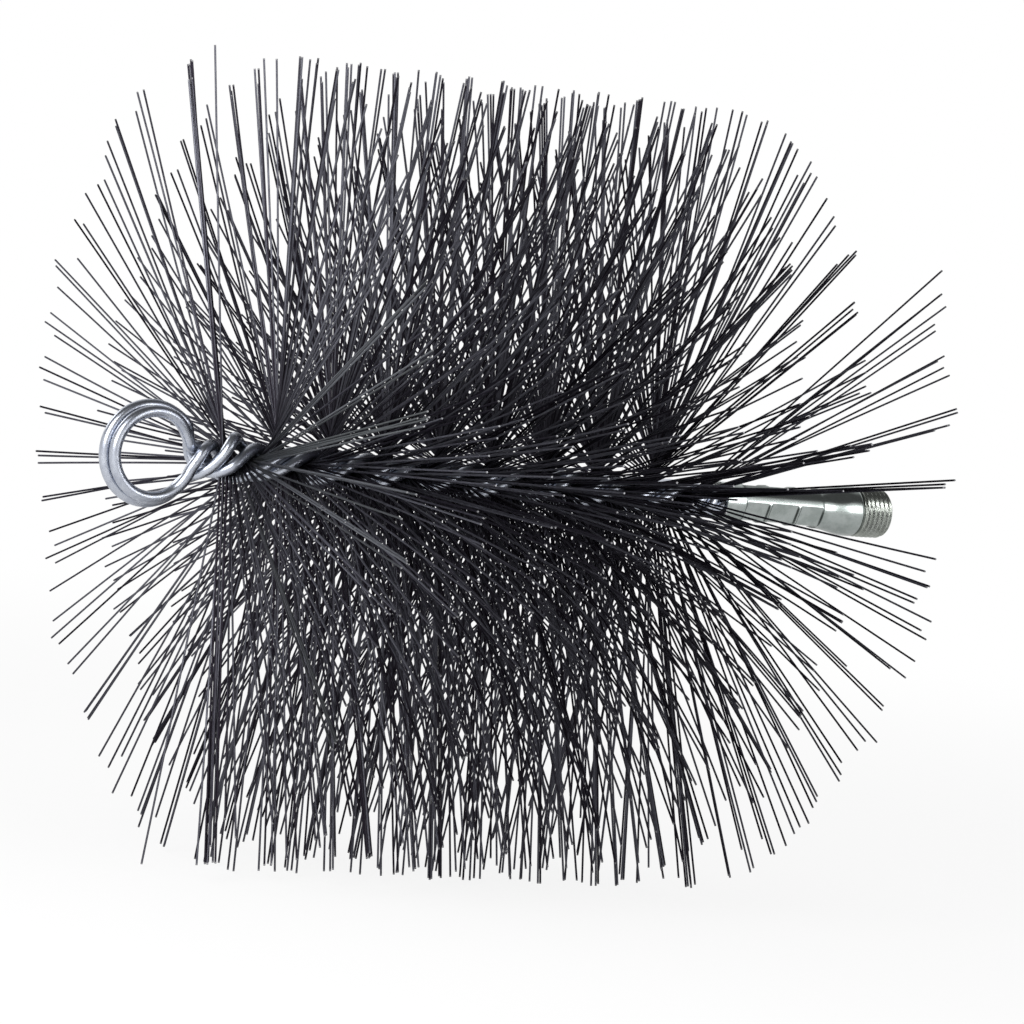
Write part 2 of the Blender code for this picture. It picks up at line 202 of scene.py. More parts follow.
THREAD_DEPTH = 0.00065
THREAD_FLAT_SHARE = 0.06        # flat of a crest or a root, as a share of the pitch
THREAD_FADE_TURNS = 1.2         # turns in which the thread comes to its full depth
THREAD_END_RADIUS = 0.00642
THREAD_TAPER_SHARE = 1 / 32
RUN_OUT_PLACE = 0.0002          # shallow groove where the thread starts
RUN_OUT_REACH = 0.0004
RUN_OUT_DEPTH = 0.0003
STEM_STOP = 0.0051              # from the stem's four ends to the ferrule's mouth
NOSE_LENGTH = 0.0013            # the thread's end is rounded off
NOSE_RADIUS = 0.0060
LIP_RADIUS = 0.00022
LIP_TURN_SHARES = (1, 0.66, 0.33)   # of a quarter turn, round the lip at the stem
FERRULE_SEED = 5

# How bright the ferrule's edges are worn, and where. Creases count as less than nothing, for painted
# shade.
CORNER_WEAR = 0.6
CREST_WEAR = 0.6
CREST_SHARE = 0.25              # top part of the thread that is worn
LIP_WEAR = 0.8
BORE_WEAR = 0.5
MOUTH_WEAR = 0.6
CREASE_SHARE = 0.47             # of a side from its middle, where a crease stops before the corner
FULL_PRESS = 0.99               # a crease ends where the bite is pressed this much

# Counts of points
POINTS_A_TURN = 44
RING_POINTS = 120
FILLET_POINTS = 12
WIRE_SIDES = 24
BRISTLE_SIDES = 6
BRISTLE_STEPS = 6
FERRULE_COLUMNS = 144
FERRULE_STEP = 0.00022
THREAD_STEP = 0.00007
HALVINGS = 40
TABLE_STEPS = 4000
WIRE_SHARP_ANGLE = math.radians(50)     # edges over it stay crisp
FERRULE_SHARP_ANGLE = math.radians(40)

# Sizes that follow from the ones above
WIRE_RADIUS = WIRE_DIAMETER / 2
EYE_CENTRE = -EYE_DISTANCE
TWIST_START = -TWIST_LEAD_IN
PACK_END = PACK_START + PACK_LENGTH
FERRULE_START = PACK_END + BARE_TAIL
CRIMP_LENGTH = COLLAR_LENGTH + sum(BITES)
LAND_START = CRIMP_LENGTH + FLARE_LENGTH
THREAD_START = LAND_START + LAND_LENGTH
FERRULE_LENGTH = THREAD_START + THREAD_LENGTH
FERRULE_END = FERRULE_START + FERRULE_LENGTH
STEM_END = FERRULE_END - STEM_STOP
EYE_LEFT = EYE_CENTRE - SOLID_RING_RADIUS - SOLID_WIRE_DIAMETER / 2
ROW_HALF = LAYERS * BRISTLE_THICKNESS / 2
AXIS_HEIGHT = BRISTLE_RADIUS - TIP_CUT
NECK = np.array((-(EYE_LEFT + FERRULE_END) / 2, 0, AXIS_HEIGHT))


def least(size_of, target, low, high):
    """Smallest value between low and high at which size_of reaches the target."""
    for _ in range(HALVINGS):
        middle = (low + high) / 2
        if size_of(middle) < target:
            low = middle
        else:
            high = middle
    return high


def leg_distance(lead, radius, phase):
    """Least distance between the centrelines of two legs of one twist, a phase apart."""
    slide = np.linspace(-lead / 2, lead / 2, TABLE_STEPS)
    chord = 2 * radius * np.sin((phase + TURN * slide / lead) / 2)
    return float(np.sqrt(chord ** 2 + slide ** 2).min())


def square_lay(lead, pitch):
    """Offset, across and apart alike, of four legs that keep their pitch at this lead."""
    radius = least(lambda size: leg_distance(lead, size, QUARTER), pitch, WIRE_RADIUS, lead)
    return radius / math.sqrt(2)


TAIL_LEAD = TAIL_LEAD_SHARE * TAIL_PITCH
SEAT_LEAD = SEAT_LEAD_SHARE * TAIL_PITCH
TAIL_OFFSET = square_lay(TAIL_LEAD, TAIL_PITCH)
SEAT_OFFSET = square_lay(SEAT_LEAD, TAIL_PITCH)
PACK_SLOPE = math.hypot(1, TURN * WIRE_DIAMETER / PACK_LEAD)
PACK_APART = ROW_HALF + WIRE_RADIUS * PACK_SLOPE
PACK_ACROSS = least(
    lambda across: leg_distance(
        PACK_LEAD, math.hypot(across, PACK_APART), 2 * math.atan2(across, PACK_APART)
    ),
    SIDE_PITCH, 0, WIRE_DIAMETER)
RING_APART = math.sqrt(LAY_PITCH ** 2 - RING_STEP ** 2) / 2
ROW_REACH = PACK_ACROSS + WIRE_RADIUS + ROOT_STAND_OUT
SEAT_BORE = SEAT_OFFSET * math.sqrt(2) + WIRE_RADIUS + SEAT_GAP

# Stations along the stem: place, turns a metre, and the legs' offsets along the bristle row
# and square to it
STATIONS = (
    (TWIST_START, 0, NECK_ACROSS, RING_APART),
    (TWIST_START + NECK_RAMP / 2, 1 / NECK_LEAD / 2, NECK_ACROSS, CROSS_APART),
    (TWIST_START + NECK_RAMP, 1 / NECK_LEAD, NECK_ACROSS, CROSS_APART),
    (TWIST_START + NECK_RAMP + CROSS_LENGTH, 1 / NECK_LEAD, NECK_ACROSS, NECK_APART),
    (NECK_END, 1 / NECK_LEAD, NECK_ACROSS, NECK_APART),
    (NECK_END + PACK_RAMP, 1 / PACK_LEAD, PACK_ACROSS + HUB_SWELL, PACK_APART + HUB_SWELL),
    (NECK_END + PACK_RAMP + HUB_SWELL_LENGTH, 1 / PACK_LEAD, PACK_ACROSS, PACK_APART),
    (LOOSENED[0], 1 / PACK_LEAD, PACK_ACROSS, PACK_APART),
    (LOOSENED[1], 1 / LAST_LEAD, PACK_ACROSS, PACK_APART),
    (PACK_END, 1 / LAST_LEAD, PACK_ACROSS, PACK_APART),
    (PACK_END + TAIL_RAMP, 1 / TAIL_LEAD, TAIL_OFFSET, TAIL_OFFSET),
    (FERRULE_START - 2 * SEAT_RAMP, 1 / TAIL_LEAD, TAIL_OFFSET, TAIL_OFFSET),
    (FERRULE_START - SEAT_RAMP, 1 / SEAT_LEAD, SEAT_OFFSET, SEAT_OFFSET),
    (STEM_END, 1 / SEAT_LEAD, SEAT_OFFSET, SEAT_OFFSET),
)
PLACES, RATES, ACROSS, APART = (np.array(column) for column in zip(*STATIONS))
TABLE = np.linspace(TWIST_START, STEM_END, TABLE_STEPS)
TABLE_RATES = np.interp(TABLE, PLACES, RATES)
TABLE_STEP = TABLE[1] - TABLE[0]
TABLE_TURNS = np.concatenate(
    ([0], np.cumsum((TABLE_RATES[1:] + TABLE_RATES[:-1]) / 2 * TABLE_STEP)))


def turns_to(place):
    """Turns that the stem has made at places along it."""
    return np.interp(place, TABLE, TABLE_TURNS)


def place_at(turns):
    """Places along the stem where the twist has made these many turns."""
    return np.interp(turns, TABLE_TURNS, TABLE)


def on_stem(place, across, apart):
    """Points at offsets along the bristle row and square to it, at places along the stem."""
    angle = QUARTER - TURN * turns_to(place)
    return NECK + np.stack((
        place,
        across * np.cos(angle) - apart * np.sin(angle),
        across * np.sin(angle) + apart * np.cos(angle)), axis=-1)


# Finishes

def linear(*shown):
    """Colour as a picture shows it, 0 to 255, as light values with full alpha."""
    shares = [value / 255 for value in shown]
    return (*[share / 12.92 if share <= 0.04045 else ((share + 0.055) / 1.055) ** 2.4
              for share in shares], 1)


class Shade:
    """Output of a shader node, with the arithmetic that the finishes are written in."""

    def __init__(self, finish, socket):
        self.finish = finish
        self.socket = socket

    def __add__(self, other):
        return self.finish.maths("ADD", self, other)

    def __radd__(self, other):
        return self.finish.maths("ADD", other, self)

    def __sub__(self, other):
        return self.finish.maths("SUBTRACT", self, other)

    def __rsub__(self, other):
        return self.finish.maths("SUBTRACT", other, self)

    def __mul__(self, other):
        return self.finish.maths("MULTIPLY", self, other)

    def __rmul__(self, other):
        return self.finish.maths("MULTIPLY", other, self)


class Finish:
    """Node tree of one material or of the world."""

    def __init__(self, owner):
        owner.use_nodes = True
        self.owner = owner
        self.tree = owner.node_tree
        self.tree.nodes.clear()

    def node(self, kind, settings, inputs, output=0):
        """Adds a node with its settings and the values or links of its sockets."""
        made = self.tree.nodes.new(kind)
        for name, value in settings.items():
            setattr(made, name, value)
        for key, value in inputs.items():
            if isinstance(value, Shade):
                self.tree.links.new(value.socket, made.inputs[key])
            else:
                made.inputs[key].default_value = value
        return Shade(self, made.outputs[output]) if made.outputs else None

    def maths(self, operation, first, second):
        """Sum, product or other joining of two numbers, of which one varies over the surface."""
        return self.node("ShaderNodeMath", {"operation": operation}, {0: first, 1: second})

    def between(self, value, low, high):
        """0 where the value is at or under low, 1 at or over high, and smooth between them."""
        return self.node("ShaderNodeMapRange", {"interpolation_type": "SMOOTHSTEP"},
                         {"Value": value, "From Min": low, "From Max": high})

    def mix(self, share, first, second):
        """Colour between two colours, by the colour sockets of a Mix node."""
        return self.node("ShaderNodeMix", {"data_type": "RGBA"}, {0: share, 6: first, 7: second}, 2)

    def attribute(self, name, output="Fac"):
        """Value that the mesh carries under this name."""
        return self.node("ShaderNodeAttribute", {"attribute_name": name}, {}, output)

    def position(self):
        """Place on the object in millimetres."""
        place = self.node("ShaderNodeTexCoord", {}, {}, "Object")
        return self.scaled(place, (1 / MILLIMETRE,) * 3)

    def scaled(self, vector, factors):
        """Vector stretched by a factor for each axis."""
        return self.node("ShaderNodeVectorMath", {"operation": "MULTIPLY"}, {0: vector, 1: factors})

    def noise(self, vector, scale, detail, roughness):
        """Cloudy pattern, about 0.5 in the mean."""
        return self.node("ShaderNodeTexNoise", {}, {
            "Vector": vector, "Scale": scale, "Detail": detail, "Roughness": roughness})

    def bump(self, height, strength, depth):
        """Normal of a surface with fine relief, its depth in metres."""
        return self.node("ShaderNodeBump", {}, {
            "Height": height, "Strength": strength, "Distance": depth})

    def surface(self, inputs):
        """Principled shader as the material's surface."""
        shader = self.node("ShaderNodeBsdfPrincipled", {}, inputs)
        self.node("ShaderNodeOutputMaterial", {}, {"Surface": shader})
        return self.owner


def new_finish(name):
    """Empty material of this name, ready for its nodes."""
    return Finish(bpy.data.materials.new(name))


# Near-black that the bristles take for soot and for painted shade.
SOOT_AND_SHADE = linear(22, 17, 23)


def wire_zinc():
    """Bright zinc on drawn wire: mottled, with faint lines along the wire."""
    zinc = new_finish("bright_zinc_wire")
    lay = zinc.attribute("lay", "Vector")
    cloud = zinc.noise(lay, 0.45, 3, 0.55)
    speck = zinc.noise(lay, 3.5, 2, 0.6)
    drawn = zinc.noise(zinc.scaled(lay, (0.06, 5.0, 5.0)), 1.0, 3, 0.6)
    dull = zinc.between(cloud, 0.34, 0.70)
    pit = zinc.between(speck, 0.68, 0.78)
    colour = zinc.mix(dull, linear(192, 197, 207), linear(176, 181, 193))
    colour = zinc.mix(pit * 0.15, colour, linear(130, 132, 142))
    rough = 0.24 + dull * 0.05 + drawn * 0.05
    height = drawn * 0.7 + cloud * 0.3 - pit * 0.2
    return zinc.surface({
        "Base Color": colour,
        "Metallic": 1.0,
        "Roughness": rough,
        "Normal": zinc.bump(height, 0.07, 0.00003),
    })


def bristle_steel():
    """Dark spring steel wire, each bristle its own shade, sooty and painted darker as shade towards its
    root, bright where cut.
    """
    steel = new_finish("dark_spring_steel")
    shade = steel.attribute("shade")
    reach = steel.attribute("reach")
    lay = steel.attribute("lay", "Vector")
    patch = steel.noise(lay, 0.22, 3, 0.6)
    grain = steel.noise(steel.scaled(lay, (0.5, 9.0, 9.0)), 1.0, 2, 0.6)
    along, height = (
        steel.node("ShaderNodeSeparateXYZ", {}, {0: steel.position()}, axis) for axis in (0, 2))
    thread_end_shade = steel.between(along, -85, 35)    # millimetres from the brush's middle
    low = steel.between(height, 95, 35)     # millimetres above the floor
    outer = steel.between(reach, 0.6, 0.95)
    light = steel.between(shade * 0.7 + patch * 0.5, 0.25, 1.05)
    colour = steel.mix(light, linear(38, 35, 43), linear(118, 119, 128))
    # Painted shade: the bristles are darker towards the thread's end.
    colour = steel.mix(thread_end_shade * 0.34, colour, SOOT_AND_SHADE)
    # Darker low down, most at the eye's end, and towards the tips.
    low_and_tip_darkening = low * (0.36 - thread_end_shade * 0.28) + outer * 0.16
    colour = steel.mix(low_and_tip_darkening, colour, SOOT_AND_SHADE)
    shine = steel.attribute("shine")
    # Painted sheen: the bunches that stand out are coloured lighter, as if lit.
    colour = steel.mix(shine * 0.45, colour, linear(144, 150, 150))
    # Soot and painted shade, darker towards the root where the bristles crowd.
    root_soot_and_shade = steel.between(reach, 0.62, 0.10)
    colour = steel.mix(root_soot_and_shade * (0.6 - shine * 0.25), colour, SOOT_AND_SHADE)
    cut = steel.between(reach, 0.9955, 0.998)
    colour = steel.mix(cut * 0.7, colour, linear(140, 140, 142))
    rough = 0.27 + patch * 0.14 + grain * 0.12
    return steel.surface({
        "Base Color": colour,
        "Metallic": 0.85,
        "Specular Tint": (0.35, 0.34, 0.38, 1),
        "Roughness": rough,
        "Normal": steel.bump(grain + patch * 0.5, 0.3, 0.00002),
    })


def ferrule_zinc():
    """Dull greenish zinc on the crimped tube, worn bright on its edges, warmer on the thread, with
    painted shade in its creases and run-out groove.
    """
    zinc = new_finish("dull_zinc_ferrule")
    place = zinc.position()
    edge = zinc.attribute("edge")
    thread = zinc.attribute("thread")
    cloud = zinc.noise(place, 0.32, 4, 0.6)
    speck = zinc.noise(place, 2.4, 3, 0.6)
    brushed = zinc.noise(zinc.scaled(place, (7.0, 0.5, 0.5)), 1.0, 3, 0.65)
    dull = zinc.between(cloud, 0.35, 0.68)
    worn = zinc.between(edge + speck * 0.5 - 0.25, 0.3, 0.9)
    crease_shade = zinc.between(speck * 0.4 - edge, 0.25, 0.95)
    colour = zinc.mix(dull, linear(178, 185, 183), linear(158, 166, 163))
    colour = zinc.mix(thread * 0.14, colour, linear(200, 192, 160))
    colour = zinc.mix(worn * 0.5, colour, linear(206, 210, 208))
    # Painted shade in the crimp's creases and the thread's run-out groove, with faint dark mottling
    # elsewhere.
    colour = zinc.mix(crease_shade * 0.75, colour, linear(66, 74, 70))
    colour = zinc.mix(zinc.between(speck, 0.64, 0.74) * 0.25, colour, linear(116, 122, 118))
    rough = 0.13 + dull * 0.06 + brushed * 0.05 - worn * 0.03
    height = brushed * 0.4 + speck * 0.25 + cloud * 0.5
    return zinc.surface({
        "Base Color": colour,
        "Metallic": 1.0,
        "Roughness": rough,
        "Normal": zinc.bump(height, 0.22, 0.00004),
    })


# Meshes

def unit(vectors):
    """Vectors of the same ways, all of length 1."""
    return vectors / np.linalg.norm(vectors, axis=-1, keepdims=True)


def swept(name, lines, radius, sides, steady):
    """Round wires along lines of points, all of one length, with flat ends, as one mesh.

    The lay that comes with it unrolls each wire: millimetres along it, and its section beside
    that. Steady is a way that no wire runs in at its start.
    """
    count, points = lines.shape[:2]
    tangents = unit(np.gradient(lines, axis=1))
    carried = unit(np.cross(tangents[:, 0], steady))
    firsts = []
    for step in range(points):
        along = tangents[:, step]
        carried = unit(carried - along * np.sum(carried * along, axis=-1, keepdims=True))
        firsts.append(carried)
    firsts = np.stack(firsts, axis=1)
    seconds = np.cross(tangents, firsts)
    angles = np.arange(sides) * TURN / sides
    circle = np.stack((np.cos(angles), np.sin(angles)), axis=-1)
    spokes = firsts[:, :, None] * circle[:, 0, None] + seconds[:, :, None] * circle[:, 1, None]
    corners = lines[:, :, None] + spokes * radius
    index = np.arange(count * points * sides).reshape(count, points, sides)
    after = np.roll(index, -1, axis=2)
    quads = np.stack((index[:, :-1], after[:, :-1], after[:, 1:], index[:, 1:]), axis=-1)
    faces = quads.reshape(-1, 4).tolist()
    faces += index[:, 0, ::-1].tolist() + index[:, -1].tolist()
    mesh = bpy.data.meshes.new(name)
    mesh.from_pydata(corners.reshape(-1, 3).tolist(), [], faces)
    mesh.shade_smooth()
    mesh.set_sharp_from_angle(angle=WIRE_SHARP_ANGLE)
    steps = np.linalg.norm(np.diff(lines, axis=1), axis=2)
    along = np.concatenate((np.zeros((count, 1)), np.cumsum(steps, axis=1)), axis=1)
    lay = np.empty((count, points, sides, 3))
    lay[..., 0] = along[:, :, None] / MILLIMETRE
    lay[..., 1:] = circle * radius / MILLIMETRE
    return mesh, lay


def set_values(mesh, name, values):
    """Attribute on the mesh's points, a number or a vector each."""
    kind = "FLOAT_VECTOR" if values.shape[-1] == 3 else "FLOAT"
    field = "vector" if kind == "FLOAT_VECTOR" else "value"
    attribute = mesh.attributes.new(name, kind, "POINT")
    attribute.data.foreach_set(field, values.astype(np.float32).ravel())


def set_wire_values(mesh, name, values, lay):
    """Attribute of swept wires: a number for each wire, or for each point along them."""
    set_values(mesh, name, np.broadcast_to(values, lay.shape[:3])[..., None])


def new_piece(name, mesh, finish, nodes):
    """Piece of the brush that stands for solids, in place already."""
    piece = bpy.data.objects.new(name, mesh)
    bpy.context.scene.collection.objects.link(piece)
    mesh.materials.append(finish)
    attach(piece, "root")
    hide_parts(*nodes)
    return piece


# Stem wires

def neck_bend(ring_radius, fillet):
    """End of the bend from a ring into the twist, and the angle on the ring where it starts."""
    reach = ring_radius + fillet
    rise = NECK_ACROSS + fillet
    return EYE_CENTRE + math.sqrt(reach ** 2 - rise ** 2), math.asin(rise / reach)


def eye_half(ring_radius, fillet):
    """Upper half of the eye in its own plane, from its far end to the end of the neck's bend."""
    bend_end, start_angle = neck_bend(ring_radius, fillet)
    angles = np.linspace(math.pi, start_angle, RING_POINTS // 2 + 1)
    ring = np.stack((EYE_CENTRE + ring_radius * np.cos(angles), ring_radius * np.sin(angles)), -1)
    angles = np.linspace(start_angle, QUARTER, FILLET_POINTS + 1)[1:]
    bend = np.stack((bend_end - fillet * np.cos(angles),
                     NECK_ACROSS + fillet - fillet * np.sin(angles)), -1)
    return np.concatenate((ring, bend))


def leg(start):
    """Rest of the upper leg up to its end in the ferrule, with points at equal shares of a turn."""
    first, last = turns_to(start), turns_to(STEM_END)
    count = math.ceil((last - first) * POINTS_A_TURN)
    places = place_at(np.linspace(first, last, count + 1)[1:])
    return np.stack((places, np.interp(places, PLACES, ACROSS)), -1)


def laid_leg(half, side, way, apart, lay):
    """Centreline of one leg, the upper or lower way, with its own swell and turn at the neck."""
    swell, swell_place, turn = lay
    places = half[:, 0]
    size = 1 + swell * np.exp(-((places - swell_place) / LEG_SWELL_REACH) ** 2)
    turned = turn * np.exp(-((places - LEG_TURN_PLACE) / LEG_TURN_REACH) ** 2)
    turned *= places > LEG_TURN_LIMIT
    across = way * half[:, 1] * size
    apart = side * apart * size
    return on_stem(places, across * np.cos(turned) - apart * np.sin(turned),
                   across * np.sin(turned) + apart * np.cos(turned))


def stem_wire(name, ring_radius, fillet, side, lays, finish, node):
    """One wire, from the end of its upper leg round the eye to the end of its lower leg."""
    half = np.concatenate((eye_half(ring_radius, fillet), leg(neck_bend(ring_radius, fillet)[0])))
    apart = np.interp(half[:, 0], PLACES, APART)
    upper, lower = (laid_leg(half, side, way, apart, lay) for way, lay in zip((1, -1), lays))
    line = np.concatenate((upper[::-1], lower[1:]))
    mesh, lay = swept(name, line[None], WIRE_RADIUS, WIRE_SIDES, (0, 0, 1))
    set_values(mesh, "lay", lay)
    return new_piece(name, mesh, finish, [node])


# Bristles

def bunched(places, layers, bearings, tilts, side, chance):
    """Pulls runs of neighbouring bristles together, and tells how much each of them shines."""
    count = len(places)
    owner = np.full(count, -1)
    shine = np.zeros(count)
    for number, (place, half_stretch, end, lean, shining) in enumerate(GATHERED):
        if end == side:
            chosen = np.abs(places - place) <= half_stretch
            owner[chosen] = count + number
            tilts[chosen] += math.radians(lean)
            shine[chosen] = shining
    first = 0
    while first < count:
        size = chance.choice(BUNCH_SIZES, p=BUNCH_CHANCES)
        run = np.arange(first, min(first + size, count))
        run = run[owner[run] < 0]
        owner[run] = first
        first += size
    for number in np.unique(owner):
        run = np.flatnonzero(owner == number)
        run = run[np.argsort(-side * layers[run], kind="stable")]
        order = np.arange(len(run)) - (len(run) - 1) / 2
        if len(run) > 1:
            turn_step = BUNCH_STEP * chance.uniform(*BUNCH_BEARING_SHARES)
            bearings[run] = bearings[run].mean() - order * turn_step
            tilt_step = BUNCH_STEP * chance.uniform(*BUNCH_TILT_SHARES)
            tilts[run] = tilts[run].mean() + order * tilt_step
    return shine


def part_bristles(places, bearings, side):
    """Folds the bristles that point into a gap over its nearer edge, clear of the ferrule."""
    for start, end, *gap in PARTINGS:
        foot, parting, top = np.radians(gap)
        pointing = bearings + (0 if side > 0 else math.pi)
        # The front lies at a bearing of half a turn
        rise = (math.pi - pointing + math.pi) % TURN - math.pi
        inside = (rise > foot) & (rise < top) & (places > start) & (places <= end)
        edge = np.where(rise < parting, foot, top)
        bearings += np.where(inside, (1 + PARTED_REST) * (rise - edge), 0)


def cut_shares(count, chance):
    """Lengths of bristles as shares of the full one: most full, some short, a few broken."""
    shares = chance.uniform(FULL_SHARE, 1, count)
    short = chance.uniform(size=count) < SHORT_CHANCE
    shares = np.where(short, chance.uniform(SHORTEST_SHARE, FULL_SHARE, count), shares)
    broken = chance.uniform(size=count) < BROKEN_CHANCE
    return np.where(broken, chance.uniform(BROKEN_SHARE, SHORTEST_SHARE, count), shares)


def half_bristles(places, layers, side, chance):
    """Lines of the bristles from root to tip on one side of the stem, and how much each shines."""
    count = len(places)
    flare = END_FLARE * np.exp((places - PACK_END) / END_FLARE_REACH)
    flare -= START_FLARE * np.exp((PACK_START - places) / START_FLARE_REACH)
    bearings = QUARTER - TURN * turns_to(places) + chance.normal(0, FAN_SPREAD / 2, count)
    tilts = flare + chance.normal(0, TILT_SPREAD / 2, count)
    shine = bunched(places, layers, bearings, tilts, side, chance)
    part_bristles(places, bearings, side)
    lengths = (BRISTLE_RADIUS - ROW_REACH) * cut_shares(count, chance) / np.cos(tilts)
    along = np.stack((
        np.sin(tilts),
        side * np.cos(tilts) * np.cos(bearings),
        side * np.cos(tilts) * np.sin(bearings)), axis=-1)
    bend = unit(np.cross(along, chance.normal(0, 1, (count, 3))))
    bend *= chance.normal(0, BEND_SHARE / 2, count)[:, None]
    roots = on_stem(places, np.full(count, side * ROW_REACH), layers)
    steps = np.linspace(0, 1, BRISTLE_STEPS + 1)[:, None]
    reach = fitted_reach(roots, along, bend, lengths)[:, None, None]
    return roots[:, None] + (along[:, None] * steps + bend[:, None] * steps ** 2) * reach, shine


def bristle_fan(name, start, end, count, chance, finish, node):
    """Bristles of a quarter turn of the row, each whole, through the stem from tip to tip."""
    spread = (end - start) / count
    places = start + (np.arange(count) + 0.5) * spread
    places += chance.uniform(-1, 1, count) * PLACE_JITTER_SHARE * spread
    layers = (np.arange(count) % LAYERS - (LAYERS - 1) / 2) * BRISTLE_THICKNESS
    (low, low_shine), (high, high_shine) = (
        half_bristles(places, layers, side, chance) for side in (-1, 1))
    middles = on_stem(places, np.zeros(count), layers)[:, None]
    lines = np.concatenate((low[:, ::-1], middles, high), axis=1)
    mesh, lay = swept(name, lines, BRISTLE_THICKNESS / 2, BRISTLE_SIDES, (1, 0, 0))
    lay[..., 0] += chance.uniform(0, GRAIN_SCATTER, count)[:, None, None]
    from_middle = np.linspace(-1, 1, lines.shape[1])
    shine = np.where(from_middle < 0, low_shine[:, None], high_shine[:, None])
    shine[:, len(from_middle) // 2] = 0
    set_values(mesh, "lay", lay)
    set_wire_values(mesh, "shade", chance.uniform(0, 1, count)[:, None, None], lay)
    set_wire_values(mesh, "shine", shine[:, :, None], lay)
    set_wire_values(mesh, "reach", np.abs(from_middle)[:, None], lay)
    return new_piece(name, mesh, finish, [node])


def fitted_reach(roots, along, bend, lengths):
    """Lengths of bristles, cut where a tip would leave the solids' box."""
    low = np.array(cad_low) + BOX_MARGIN
    high = np.array(cad_high) - BOX_MARGIN
    travel = along + bend
    with np.errstate(divide="ignore", invalid="ignore"):
        to_low = np.where(travel < 0, (low - roots) / travel, np.inf)
        to_high = np.where(travel > 0, (high - roots) / travel, np.inf)
    return np.minimum(lengths, np.minimum(to_low, to_high).min(axis=-1))


# Ferrule

def eased(share):
    """Smooth rise from 0 to 1."""
    share = np.clip(share, 0, 1)
    return share * share * (3 - 2 * share)


def humped(share):
    """0 at 0 and at 1, and 1 half way."""
    return 4 * share * (1 - share)


def crimp_press(places):
    """How far the crimping jaws press in: 1 in the bites, 0 on the ridges and outside them."""
    press = np.zeros_like(places)
    start = COLLAR_LENGTH
    for length in BITES:
        rise = eased((places - start) / RIDGE_LENGTH)
        fall = eased((start + length - places) / RIDGE_LENGTH)
        press = np.maximum(press, rise * fall)
        start += length
    return press


def crimped_skin(places, angles, chance):
    """Radius of the ferrule's crimped and flared tube, how worn its edges are, and less than nothing in
    its creases, for painted shade.
    """
    shank = np.interp(places, (0, COLLAR_LENGTH, CRIMP_LENGTH),
                      (COLLAR_RADIUS, COLLAR_RADIUS, SHANK_RADIUS))
    swell = (1 - np.cos(math.pi * np.clip((places - CRIMP_LENGTH) / FLARE_LENGTH, 0, 1))) / 2
    radius = shank + (PIPE_RADIUS - SHANK_RADIUS) * swell
    in_crimp = eased((places - COLLAR_LENGTH) / RIDGE_LENGTH)
    in_crimp = in_crimp * eased((CRIMP_LENGTH - places) / RIDGE_LENGTH)
    sector = TURN / SIDES_OF_HEX
    turned = angles - CRIMP_TURN
    number = np.round(turned / sector).astype(int) % SIDES_OF_HEX
    from_flat = (turned + sector / 2) % sector - sector / 2
    soft = number == SOFT_SIDE
    press = crimp_press(places) * ~soft
    bite_starts = np.cumsum((COLLAR_LENGTH,) + BITES)
    bite = np.clip(np.searchsorted(bite_starts, places[:, 0]) - 1, 0, len(BITES) - 1)
    uneven = chance.uniform(-CRIMP_SPREAD, CRIMP_SPREAD, (len(BITES), SIDES_OF_HEX))
    depth = RIDGE_SINK * in_crimp + (CRIMP_DEPTH + uneven[bite][:, number]) * press
    flat = (radius - depth) / np.cos(from_flat)
    bulge = CORNER_BULGE * in_crimp
    corner = radius + bulge
    blend = np.clip(0.5 + (flat - corner) / CORNER_ROUNDING / 2, 0, 1)
    pressed = flat * (1 - blend) + corner * blend - CORNER_ROUNDING * blend * (1 - blend)
    to_corner = (from_flat / (sector / 2)) ** SOFT_BULGE_POWER
    rounded = radius + bulge * (SOFT_BULGE_SHARE + (1 - SOFT_BULGE_SHARE) * to_corner)
    outside = np.where(in_crimp > 0, np.where(soft, rounded, pressed), radius)
    creased = (np.abs(from_flat) < sector * CREASE_SHARE) & (press < FULL_PRESS)
    return outside, humped(blend) * press * CORNER_WEAR - humped(press) * creased


def threaded_skin(places, angles):
    """Radius of the ferrule's threaded end, and how worn its crests are."""
    along = places - THREAD_START
    to_end = FERRULE_LENGTH - places
    crest = np.minimum(PIPE_RADIUS, THREAD_END_RADIUS + to_end * THREAD_TAPER_SHARE)
    phase = (along / THREAD_PITCH - angles / TURN) % 1
    flank = (np.abs(phase - 0.5) * 2 - THREAD_FLAT_SHARE) / (1 - 2 * THREAD_FLAT_SHARE)
    height = np.clip(flank, 0, 1)
    fade = np.clip(along / THREAD_PITCH / THREAD_FADE_TURNS, 0, 1)
    from_rim = np.clip(to_end / NOSE_LENGTH, 0, 1)
    nose = NOSE_RADIUS + (PIPE_RADIUS - NOSE_RADIUS) * np.sin(from_rim * QUARTER)
    outside = np.minimum(crest - THREAD_DEPTH * (1 - height) * fade, nose)
    return outside, eased((height - (1 - CREST_SHARE)) / CREST_SHARE) * fade * CREST_WEAR


def ferrule_surface(places, angles, chance):
    """Radius of the ferrule's outside, how worn its edges are or how much painted shade its creases and
    run-out groove get, and where it is threaded.
    """
    places = places[:, None]
    tube, tube_wear_and_shade = crimped_skin(places, angles, chance)
    end, end_wear = threaded_skin(places, angles)
    groove = np.exp(-((places - THREAD_START - RUN_OUT_PLACE) / RUN_OUT_REACH) ** 2)
    threaded = places > THREAD_START
    outside = np.where(threaded, end, tube) - RUN_OUT_DEPTH * groove
    # Creases and the run-out groove go below nothing, where the finish paints shade.
    wear_and_shade = np.where(threaded, end_wear, tube_wear_and_shade) - groove
    return outside, wear_and_shade, np.broadcast_to(threaded * 1.0, outside.shape)


